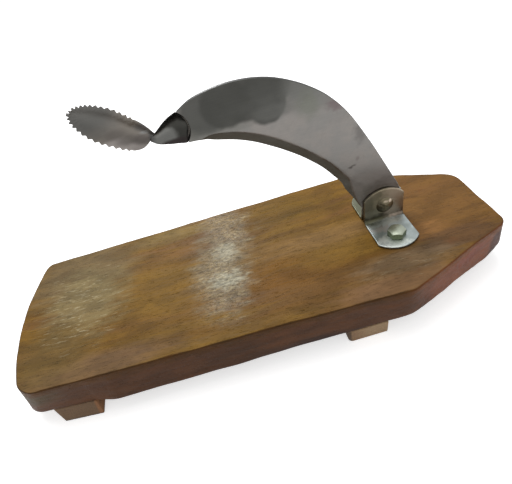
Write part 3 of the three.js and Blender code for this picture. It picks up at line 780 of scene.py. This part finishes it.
def make_board():
    """A plank hand-cut all round, its sides drawn from the upper outline to the lower one."""
    upper = rounded_outline(BOARD_TOP_CORNERS, SIDE_PIECES)
    lower = rounded_outline(BOARD_UNDER_CORNERS, SIDE_PIECES)
    for outline in (upper, lower):
        for point in outline:
            near_end = min(max((BOW_FROM - point.x) / BOW_FADE, 0), 1)
            point.x -= BOW * max(1 - (point.y / SEAT_HALF) ** 2, 0) * near_end
    count = len(upper)
    # The profile from the top's flat over the side to the underside's flat, as (kind, share)
    profile = [("top", 2.6), ("top", 1.25)] + [("turn", k / 6) for k in range(7)]
    profile += [("side", k / 9) for k in range(1, 9)]
    profile += [("tuck", k / 5) for k in range(6)] + [("under", 1.4), ("under", 3)]
    rows = len(profile) - 1
    near_tip = Vector(BOARD_UNDER_CORNERS[4][:2])

    def place(along, across):
        i = round(across * count) % count
        kind, share = profile[round(along * rows)]
        high, low = upper[i], lower[i]
        way = upper[(i + 1) % count] - upper[i - 1]
        out = Vector((way.y, -way.x)).normalized()
        nose = min(max((high.x - NOSE_FROM) / NOSE_GROWS, 0), 1)
        # How far the edge is worn round, above and below; most under the nose's near tip
        ease = 1.3 + wander(high.x, high.y, 3, 17, 0.5) + wander(high.x, high.y, 7, 5, 0.4)
        tip = max(1 - (low - near_tip).length / 22, 0)
        under_ease = 1.9 + wander(high.x, high.y, 40, 23, 0.9) + 7 * tip * tip * (3 - 2 * tip)
        under_ease += nose * abs(wander(high.x, high.y, 50, 7, 3.4))
        turn = share * math.pi / 2
        if kind in ("top", "turn"):
            inset, z = (ease * share, BOARD_TOP) if kind == "top" else (
                ease * (1 - math.sin(turn)), BOARD_TOP - ease * (1 - math.cos(turn)))
            level = 0
        elif kind == "side":
            level = share
            inset, z = 0, (BOARD_TOP - ease) * (1 - share) + (BOARD_UNDER + under_ease) * share
        else:
            inset, z = (under_ease * share, BOARD_UNDER) if kind == "under" else (
                under_ease * (1 - math.cos(turn)), BOARD_UNDER + under_ease * (1 - math.sin(turn)))
            level = 1
        point = high.lerp(low, level) - out * inset
        point -= out * wander(point.x, point.y, z, 26, 0.7) * (1 if kind != "top" else 0.5)
        return Vector((point.x, point.y, z))

    bm = mapped_tube(rows, count, place)
    finish_piece(bm, "board", "_plank", "base", varnished, 40)


def screw_profile():
    """A countersunk wood screw standing on its head, its thread cut as rings."""
    radius, root, pitch = 2, 1.45, 1.5
    thread_from, thread_to, tip = 14, 32, 35.5
    profile = [(0, 0.6), (4, 0.6), (4, 0.9), (radius, 3.6), (radius, thread_from)]
    height = thread_from
    while height < thread_to:
        profile += [(radius, height + 0.1), (root, height + 1.3), (radius, height + pitch)]
        height += pitch
    return profile + [(0, tip)]


# Where each batten lies along X, and the numbers of its screws
BATTENS = {"seat": (-157.2, [1, 2, 3]), "nose": (69.4, [4, 5, 6])}
BATTEN_W = 30
SCREW_Y = [-50, 0, 50]
# The lower corners of each batten's near end, left and right, then the upper ones
NEAR_ENDS = {
    "seat": [(-171.6, -69.0, 0), (-140.9, -71.4, 0), (-176.6, -63.6, 12), (-142.6, -66.8, 12)],
    "nose": [(53.6, -73.2, 0), (84.6, -73.2, 0), (53.9, -72.6, 12), (85.4, -73.0, 12)],
}


def make_batten(name, x):
    """A batten that ends a little short of the board's sides, with countersunk holes."""
    half = SEAT_HALF + (x - SEAT_X) / SIDE_RUN * SIDE_SPREAD - 0.6
    bm = block((BATTEN_W, 2 * half, BATTEN_T), (x, 0, BATTEN_T / 2))
    for corner in map(Vector, NEAR_ENDS[name]):
        nearest = min(bm.verts, key=lambda v: (v.co - corner).length)
        nearest.co = corner
    if name == "nose":
        heel = [e for e in bm.edges if all(v.co.x < x and v.co.y < 0 for v in e.verts)]
        bevel(bm, heel, 3.2, 5)
    bevel(bm, sharp_edges(bm, 50), 0.9, 3)
    for y in SCREW_Y:
        hole = lathed(
            [(0, -2), (4.6, -2), (4.6, 0.9), (2.3, 3.9), (2.3, 14), (0, 14)], 32,
            Matrix.Translation((x, y, 0)),
        )
        bm = combined(bm, hole, "DIFFERENCE")
    finish_piece(bm, "batten_" + name, "_bar", "base", raw, 30)


def make_wood_screw(number, x, y):
    """A wood screw with a cross cut in its head."""
    bm = lathed(screw_profile(), 24, Matrix.Translation((x, y, 0)))
    for turn in (0.4, 0.4 + math.pi / 2):
        bm = combined(bm, block((4.6, 0.9, 2.2), (x, y, 0.6), turn), "DIFFERENCE")
    finish_piece(bm, "batten_screw_" + str(number), "_cross", "base", screw_metal, 30)


make_board()
for batten, (batten_x, numbers) in BATTENS.items():
    make_batten(batten, batten_x)
    for number, screw_y in zip(numbers, SCREW_Y):
        make_wood_screw(number, batten_x, screw_y)


# Brackets and their fixings


EAR_TOP = 76.5
# The strips' middle stands this far behind the hinge
BRACKET_BACK = 0.7
BOLT_R = 4
ACROSS_FLATS = 12.5


def bolt_place(side, height):
    """The middle of a bracket's bolt at a height."""
    out = EAR_OUTSIDE + BOLT_OUT
    return Matrix.Translation((HINGE_X, HINGE_Y + side * out, height))


def make_bracket(side, name):
    """A strip with rounded ends, bent up into an ear; side is -1 for near and 1 for far."""
    half, bend_r = 16.7, 3.2
    ear, ear_sag = EAR_TOP - BOARD_TOP - GAP - SHEET, 8.2
    foot, foot_sag = (36, 8.2) if side < 0 else (34, 13)

    def rounding(x, sag):
        end_r = (half * half + sag * sag) / (2 * sag)
        return end_r - math.sqrt(end_r * end_r - x * x)

    def place(along, across):
        x = (2 * across - 1) * half
        if along < 0.4:
            out = bend_r + (foot - rounding(x, foot_sag) - bend_r) * (1 - along / 0.4)
            return Vector((x, -out, 0))
        if along < 0.6:
            turn = (along - 0.4) / 0.2 * math.pi / 2
            return Vector((x, -bend_r + bend_r * math.sin(turn), bend_r - bend_r * math.cos(turn)))
        return Vector((x, 0, bend_r + (ear - rounding(x, ear_sag) - bend_r) * (along - 0.6) / 0.4))

    bm = mapped_sheet(30, 40, place)
    if bm.faces[:][0].normal.z < 0:
        bmesh.ops.reverse_faces(bm, faces=bm.faces)
    bmesh.ops.solidify(bm, geom=bm.faces[:], thickness=SHEET)
    bmesh.ops.recalc_face_normals(bm, faces=bm.faces)
    bevel(bm, sharp_edges(bm, 60), 0.4, 3)
    corner = (HINGE_X - BRACKET_BACK, -EAR_OUTSIDE, BOARD_TOP + GAP + SHEET)
    bmesh.ops.translate(bm, vec=corner, verts=bm.verts)
    if side > 0:
        bmesh.ops.scale(bm, vec=(1, -1, 1), verts=bm.verts)
    bmesh.ops.translate(bm, vec=(0, HINGE_Y, 0), verts=bm.verts)
    hole = lathed([(0, -5), (4.3, -5), (4.3, 9), (0, 9)], 32, bolt_place(side, BOARD_TOP))
    bm = combined(bm, hole, "DIFFERENCE")
    finish_piece(bm, "bracket_" + name, "_strip", "base", galvanised, 35)


def chamfered_hexagon(low, high, turn, both_ends):
    """A hexagon whose corners are turned off in a lathe."""
    radius = ACROSS_FLATS / math.sqrt(3)
    bar = bmesh.new()
    bmesh.ops.create_cone(
        bar, cap_ends=True, segments=6, radius1=radius, radius2=radius, depth=high - low,
        matrix=Matrix.Translation((0, 0, (low + high) / 2)) @ Matrix.Rotation(turn, 4, "Z"),
    )
    corner, flat, fall = 7.25, 5.85, 0.75
    if both_ends:
        turned = [(0, low), (flat, low), (corner, low + fall), (corner, high - fall)]
    else:
        turned = [(0, low), (corner + 1, low), (corner + 1, high - fall - 0.5)]
    return combined(bar, lathed(turned + [(flat, high), (0, high)], 48), "INTERSECT")


def thread(radius, low, high):
    """A screw thread's profile as rings, from low to high."""
    pitch, depth = 1.25, 0.68
    profile = [(0, low), (radius - 0.75, low)]
    height = low + 0.4
    while height + pitch < high:
        profile += [(radius, height), (radius - depth, height + pitch / 2)]
        height += pitch
    return profile + [(radius, high)]


def make_fixings(side, name, turn):
    """A bolt that stands on the bracket's foot, with its washer and nut under the board."""
    seat = BOARD_TOP + 2 * GAP + SHEET
    head = chamfered_hexagon(seat, seat + 5.3, turn, False)
    shank = lathed(thread(BOLT_R, 2.1, 26) + [(BOLT_R, seat + 1), (0, seat + 1)], 32)
    bolt = combined(head, shank, "UNION")
    bevel(bolt, [e for e in sharp_edges(bolt, 35) if e.verts[0].co.z > seat + 1], 0.25, 2)
    ring = [(4.4, 10.4), (7.7, 10.4), (8, 10.7), (8, 11.7), (7.7, 12), (4.4, 12), (4.4, 10.4)]
    washer = lathed(ring, 48)
    bore = lathed([(0, 3), (4.2, 3), (4.2, 11), (0, 11)], 32)
    nut = combined(chamfered_hexagon(3.9, 10.1, turn + 0.5, True), bore, "DIFFERENCE")
    for bm, kind in ((bolt, "bolt_"), (washer, "washer_"), (nut, "nut_")):
        move(bm, bolt_place(side, 0))
        finish_piece(bm, kind + name, "_turned", "base", zinc, 30)


def make_rivet():
    """A shank with a hammered dome outside each ear."""
    radius, rise, shank = 7.2, 2.9, 3.5
    seat = EAR_OUTSIDE + 0.1
    dome = []
    for i in range(15):
        r = radius * (1 - i / 14)
        dome.append((r, seat + rise * (1 - (r / radius) ** 2.2)))
    profile = [(shank, seat - 0.05), (radius - 0.3, seat - 0.05)] + dome
    profile = [(r, -h) for r, h in reversed(profile)] + profile
    bm = lathed(profile, 64, Matrix.Rotation(math.pi / 2, 4, "X"))
    for vert in bm.verts:
        if abs(vert.co.y) > seat + 0.3:
            dent = noise.noise(vert.co * 0.32) * 0.75 + noise.noise(vert.co * 0.7) * 0.3
            vert.co.y -= math.copysign(max(dent, -0.1) * min(1, abs(vert.co.y) - seat), vert.co.y)
    bmesh.ops.translate(bm, vec=(HINGE_X, HINGE_Y, HINGE_Z), verts=bm.verts)
    finish_piece(bm, "pivot_rivet", "_domes", "base", rivet, 50)


for side, name, turn in ((-1, "near", 0.16), (1, "far", 0.7)):
    make_bracket(side, name)
    make_fixings(side, name, turn)
make_rivet()


# Arm, drawn from the hinge pin as (along X, up Z)

TANG_CENTRE = (-145.2, 107.9)
TANG_R = 14.4
OUTER_EDGE = [
    (-136.2, 118.9), (-127.5, 123.6), (-119, 126.1), (-109.3, 127.7), (-99.5, 128.2),
    (-87.3, 127.2), (-75, 124.3), (-63.2, 119.3), (-51, 112.1), (-38.5, 101.9), (-25.6, 86.3),
    (-11.5, 61.8), (-3.9, 47.1), (4.4, 30.6), (8.4, 22.5), (12.3, 14.4), (15.2, 4.6), (15.6, -3.0),
    (13.2, -8.8), (8.6, -13.4), (3.5, -15.5), (0, -15.9),
]
BEND_LINE = [
    (-134.4, 98), (-129.5, 97.7), (-125.2, 98.1), (-121.1, 99.1), (-115.8, 99.1), (-106.7, 97.5),
    (-97.8, 94.8), (-87.8, 90.4), (-78.5, 85), (-68.9, 78.2), (-55.7, 67.2), (-42, 53.8), (-33, 42),
    (-26.8, 32.5), (-25.2, 24), (-21.8, 11.8), (-19.6, 5.6), (-16.2, -1), (-13.4, -9.4),
    (-11, -15.9),
]
# The lip's width by its share along the arm, from the tang to the hinge
LIP_WIDTH = [
    (0, 0.5), (0.03, 0.7), (0.05, 2.2), (0.073, 6), (0.1, 8.3), (0.15, 9.8), (0.2, 10.4),
    (0.26, 10.8), (0.33, 11), (0.4, 10.3), (0.47, 9.5), (0.55, 9.2), (0.65, 8.8), (0.73, 8.2),
    (0.765, 6.6), (0.8, 4.4), (0.84, 2.2), (0.9, 0.7), (1, 0.5),
]
LIP_FOLD = math.radians(32)
BEND_R = 3


def round_tang(radius, turn):
    """The place at a distance from the middle of the tang's round end, at an angle."""
    return TANG_CENTRE[0] + radius * math.cos(turn), TANG_CENTRE[1] + radius * math.sin(turn)


def make_arm():
    """A crescent plate with a lip folded back along its inner edge, drawn section by section."""
    rows, plate, lip = 150, 18, 10
    columns = plate + lip
    outer = curve_through(OUTER_EDGE, rows + 1)
    bend = curve_through(BEND_LINE, rows + 1)
    cut = TANG_R + 0.15
    top_turn, low_turn = math.atan2(11, 9), math.atan2(-9.9, 10.8)
    # The first rows pass from the cut round the tang to the arm's own outline
    blend_rows = 14
    # Once round the sheet's section, as (column, depth): front, lip's edge, back, outer edge
    section = [(j, 0) for j in range(columns + 1)] + [(columns, 0.15), (columns, 0.85)]
    section += [(j, 1) for j in range(columns, -1, -1)] + [(0, 0.85), (0, 0.15)]

    def place(along, across):
        i = min(round(along * rows), rows)
        j, depth = section[round(across * len(section)) % len(section)]
        ease = 0.3 if depth in (0, 1) else 0
        behind = ARM_SHEET * depth
        a, b = outer[i], bend[i]
        if j <= plate:
            share = max(j / plate, ease / (b - a).length)
            point = a.lerp(b, share)
            if i < blend_rows:
                turn = top_turn + (low_turn - top_turn) * share
                arc = Vector((*round_tang(cut, turn), 0))
                point += (arc - outer[0].lerp(bend[0], share)) * (1 - i / blend_rows)
            return Vector((point.x, behind, point.y))
        way = (bend[min(i + 1, rows)] - bend[max(i - 1, 0)]).normalized()
        inward = Vector((way.y, -way.x))
        if inward.dot(Vector((b.x - a.x, b.y - a.y))) < 0:
            inward = -inward
        width = between(LIP_WIDTH, along)
        out = width * (j - plate) / lip - (ease if j == columns else 0)
        turn = min(out / BEND_R, LIP_FOLD)
        straight = max(out - BEND_R * LIP_FOLD, 0)
        sine, cosine = math.sin(turn), math.cos(turn)
        down = BEND_R * sine + straight * math.cos(LIP_FOLD) - behind * sine
        back = BEND_R * (1 - cosine) + straight * math.sin(LIP_FOLD) + behind * cosine
        return Vector((b.x + inward.x * down, back, b.y + inward.y * down))

    finish_arm_piece(mapped_tube(rows, len(section), place), "arm", "_blade", arm_steel, 40)


# Scraper head and tang

NECK = Vector((-155.5, 107.5))
HEAD_TILT = math.radians(32.4)
# The head's edge from its tip to the neck, as (along from the neck, across)
HEAD_UPPER = [
    (48.8, 0.9), (48.2, 2.4), (47.4, 4.1), (46.1, 5.5), (43.8, 7), (41.9, 8.1), (39.3, 9),
    (36.4, 9.7), (33.1, 10), (29.4, 10.3), (25.9, 10.3), (22.4, 9.7), (18.8, 9.1), (15.6, 8.2),
    (12.6, 8.3), (10.4, 7.9), (8.1, 7.2), (5.9, 6.4), (3.4, 5.3), (1.4, 4.2),
]
HEAD_LOWER = [
    (48.8, 0.9), (48.2, -0.9), (47.3, -2.9), (45.7, -4.6), (43.3, -6.4), (40.3, -8.3), (36.7, -9.9),
    (32.8, -11.1), (28.6, -11.7), (24.3, -12), (19.8, -12.1), (15.5, -12.1), (11.6, -11.6),
    (9.2, -11.9), (7.4, -11.3), (5.1, -10), (3.1, -8.2), (1.8, -5.9), (0.9, -3.9), (0.6, -2.4),
]
# The tang's edge from the neck to its round end, as (x, z) from the hinge pin
TANG_UPPER = [
    (-153.2, 109.6), (-150.4, 111.7), (-146.9, 114.4), (-142.6, 117), (-139.2, 118.4),
    (-136.5, 119.1), (-133.4, 116), (-131.4, 112.3), (-130.8, 107.9),
]
TANG_LOWER = [
    (-157.4, 105.2), (-153.2, 101.9), (-146.4, 99.9), (-140.1, 98.7), (-135.2, 97.9), (-132.6, 101),
    (-131.2, 104.2), (-130.8, 107.9),
]
# How deep each row is dished, by its share along the head or the tang
HEAD_DEPTH = [
    (0, 0), (0.05, 0.6), (0.12, 1.4), (0.25, 2.3), (0.4, 2.9), (0.55, 3.1), (0.7, 3),
    (0.85, 2.4), (1, 1.5),
]
TANG_DEPTH = [
    (0, 1.5), (0.12, 2.6), (0.3, 4.8), (0.5, 6.2), (0.65, 6.4), (0.8, 5.6), (0.92, 3.4),
    (0.97, 1.8), (1, 0.4),
]
# Wall thickness by distance from the rim
WALL = [(0, 0.9), (2, 1.3), (5, 2), (30, 2)]
# The depth of the grooves between the teeth, how far a tooth stands out, and how far in from the
# rim that fades
GROOVE = 0.42
TOOTH_OUT = 1.45
TOOTH_FADE = 3.6
# How many teeth there are up to a place on the edge, in millimetres from the tip
UPPER_TEETH = [(0, 0), (4.2, 2), (9, 4), (14.1, 6), (20.2, 8), (27.3, 10), (34.2, 12), (37.4, 13)]
LOWER_TEETH = [(0, 0), (4.4, 2), (10, 4), (17.3, 6), (25.5, 8), (34, 10), (42, 12)]


def make_head():
    """Cup, neck and tang are one pressed sheet, drawn row by row from the tip to the weld."""
    head_rows, tang_rows, columns = 230, 90, 40
    rows = head_rows + tang_rows
    along_head = Vector((-math.cos(HEAD_TILT), math.sin(HEAD_TILT)))
    across_head = Vector((math.sin(HEAD_TILT), math.cos(HEAD_TILT)))

    def whole_edge(head, tang):
        on_arm = [NECK + along_head * u + across_head * w for u, w in head]
        first = curve_through(on_arm + [tang[0]], head_rows + 1)
        return first + curve_through(tang, tang_rows + 1)[1:]

    upper, lower = whole_edge(HEAD_UPPER, TANG_UPPER), whole_edge(HEAD_LOWER, TANG_LOWER)
    # A hair's breadth off both ends, so that no row shrinks to a point
    for edge in (upper, lower):
        edge[0], edge[-1] = edge[0].lerp(edge[1], 0.5), edge[-1].lerp(edge[-2], 0.5)
    rim = kdtree.KDTree(2 * (head_rows + 1))
    teeth = {}
    for side, edge, teeth_count in ((0, upper, UPPER_TEETH), (1, lower, LOWER_TEETH)):
        reach = 0
        for i in range(head_rows + 1):
            index = side * (head_rows + 1) + i
            reach += (edge[i] - edge[max(i - 1, 0)]).length
            way = edge[i + 1] - edge[max(i - 1, 0)]
            out = Vector((way.y, -way.x, 0)).normalized() * (1 if side else -1)
            count = between(teeth_count, reach) if reach < teeth_count[-1][0] else (
                teeth_count[-1][1] + min((reach - teeth_count[-1][0]) / 3, 0.5))
            teeth[index] = (count, out)
            rim.insert(edge[i], index)
    rim.balance()

    around = 2 * columns + 2

    def place(along, across):
        i = round(along * rows)
        loop = round(across * around) % around
        front = loop <= columns
        share = (loop if front else around - 1 - loop) / columns
        point = upper[i].lerp(lower[i], share)
        on_head = i <= head_rows
        if on_head:
            depth = between(HEAD_DEPTH, i / head_rows)
        else:
            depth = between(TANG_DEPTH, (i - head_rows) / tang_rows)
        off_middle = abs(2 * share - 1)
        back = depth * ((1 - off_middle ** 2) ** 1.4 if on_head else 1 - off_middle ** 2.3)
        _, index, gap = rim.find(point)
        if not on_head:
            gap = min((point - upper[i]).length, (point - lower[i]).length)
        if not front:
            back += between(WALL, gap)
        count, out = teeth[index]
        if on_head:
            crest = min(abs(2 * (count % 1) - 1), 0.92)
            long = 1 + 0.35 * max(1 - count / 5, 0)
            point = point + out * crest * TOOTH_OUT * long * max(1 - gap / TOOTH_FADE, 0) ** 2
            last = UPPER_TEETH[-1][1] if index <= head_rows else LOWER_TEETH[-1][1]
            # The grooves filed between the teeth are longest at the tip
            groove = 2.4 + 4.2 * max(1 - count / 6, 0)
            if front and gap < groove and count < last + 0.5:
                back += (0.5 - crest) * GROOVE * (1 - gap / groove) ** 1.2
        return Vector((point.x, back, point.y))

    cup = mapped_tube(rows, around, place)
    finish_arm_piece(cup, "scraper_head", "_cup", head_steel, 38)


def make_weld():
    """A rippled bead along the back of the seam between the arm and the tang."""
    rows, columns = 120, 14

    def place(along, across):
        turn = -0.68 + 1.5 * along
        ripple = 1 + 0.14 * abs(math.sin(along * 15 * math.pi))
        radius = 1.25 * ripple * min(1, math.sin(math.pi * along) * 6 + 0.001)
        round_it = math.tau * across
        reach = TANG_R + GAP / 2 + 0.2 * noise.noise(Vector((along * 9, 0, 0)))
        reach += radius * 1.3 * math.cos(round_it)
        x, z = round_tang(reach, turn)
        return Vector((x, ARM_SHEET + 0.9 + radius * math.sin(round_it), z))

    bead = mapped_sheet(rows, columns, place)
    finish_arm_piece(bead, "weld_bead", "_ripples", weld_steel, 60)


make_arm()
make_head()
make_weld()


# Floor, light and camera


def show_directly(tree, output, soft, bright):
    """The bright shader shows to the camera and in mirrors, and the soft one gives the light."""
    rays = node(tree, "LightPath").outputs
    direct = maths(tree, "ADD", rays["Is Camera Ray"], rays["Is Glossy Ray"], clamp=True)
    choose = node(tree, "MixShader", {0: direct, 1: soft.outputs[0], 2: bright.outputs[0]})
    tree.links.new(choose.outputs[0], node(tree, output).inputs["Surface"])


def make_stage():
    """A pale floor a hair below the battens, brighter where it is looked at."""
    bm = bmesh.new()
    bmesh.ops.create_grid(bm, x_segments=1, y_segments=1, size=4)
    floor = object_from(bm, "floor")
    floor.location.z = -0.0002
    material = bpy.data.materials.new("Pale floor")
    tree = emptied(material)
    plain = node(tree, "BsdfDiffuse", {"Color": (0.86, 0.86, 0.86, 1)})
    glow = node(tree, "Emission", {"Color": (1, 1, 1, 1), "Strength": 0.6})
    lit = node(tree, "AddShader", {0: plain.outputs[0], 1: glow.outputs[0]})
    show_directly(tree, "OutputMaterial", plain, lit)
    floor.data.materials.append(material)


def make_light():
    """A white surround that lights softly, a broad lamp overhead and a smaller one beyond."""
    world = bpy.data.worlds.new("Studio")
    bpy.context.scene.world = world
    tree = emptied(world)
    soft, white = [
        node(tree, "Background", {"Color": (1, 1, 1, 1), "Strength": strength})
        for strength in (0.55, 1.0)
    ]
    show_directly(tree, "OutputWorld", soft, white)
    # Name, place, aim, breadth in metres and power in watts
    lamps = [
        ("overhead", (-0.1, 0.35, 1.3), (0, 0, 0.05), 1.0, 8.5),
        ("window", (-0.09, 0.78, 0.765), (-0.025, 0.01, 0.044), 0.2, 4.5),
    ]
    for name, at, aim, size, power in lamps:
        lamp = bpy.data.lights.new(name, "AREA")
        lamp.shape = "DISK"
        lamp.size = size
        lamp.energy = power
        holder = placed(name, lamp)
        holder.location = at
        holder.rotation_euler = (Vector(aim) - Vector(at)).to_track_quat("-Z", "Y").to_euler()


def make_camera():
    """Low over the near side and a little to the left, turned slightly on its own axis."""
    data = bpy.data.cameras.new("camera")
    data.sensor_fit = "HORIZONTAL"
    data.sensor_width = 36
    data.lens = 29.32
    data.clip_start = 0.01
    camera = placed("camera", data)
    right = Vector((0.9605, -0.2052, -0.1880)).normalized()
    ahead = Vector((0.0280, 0.7434, -0.6683))
    up = right.cross(ahead).normalized()
    ahead = up.cross(right)
    turn = Matrix((right, up, -ahead)).transposed()
    place = Vector((-0.0033, -0.2481, 0.2843))
    camera.matrix_world = Matrix.Translation(place) @ turn.to_4x4()
    bpy.context.scene.camera = camera


make_stage()
make_light()
make_camera()
bpy.context.scene.view_settings.view_transform = "Standard"
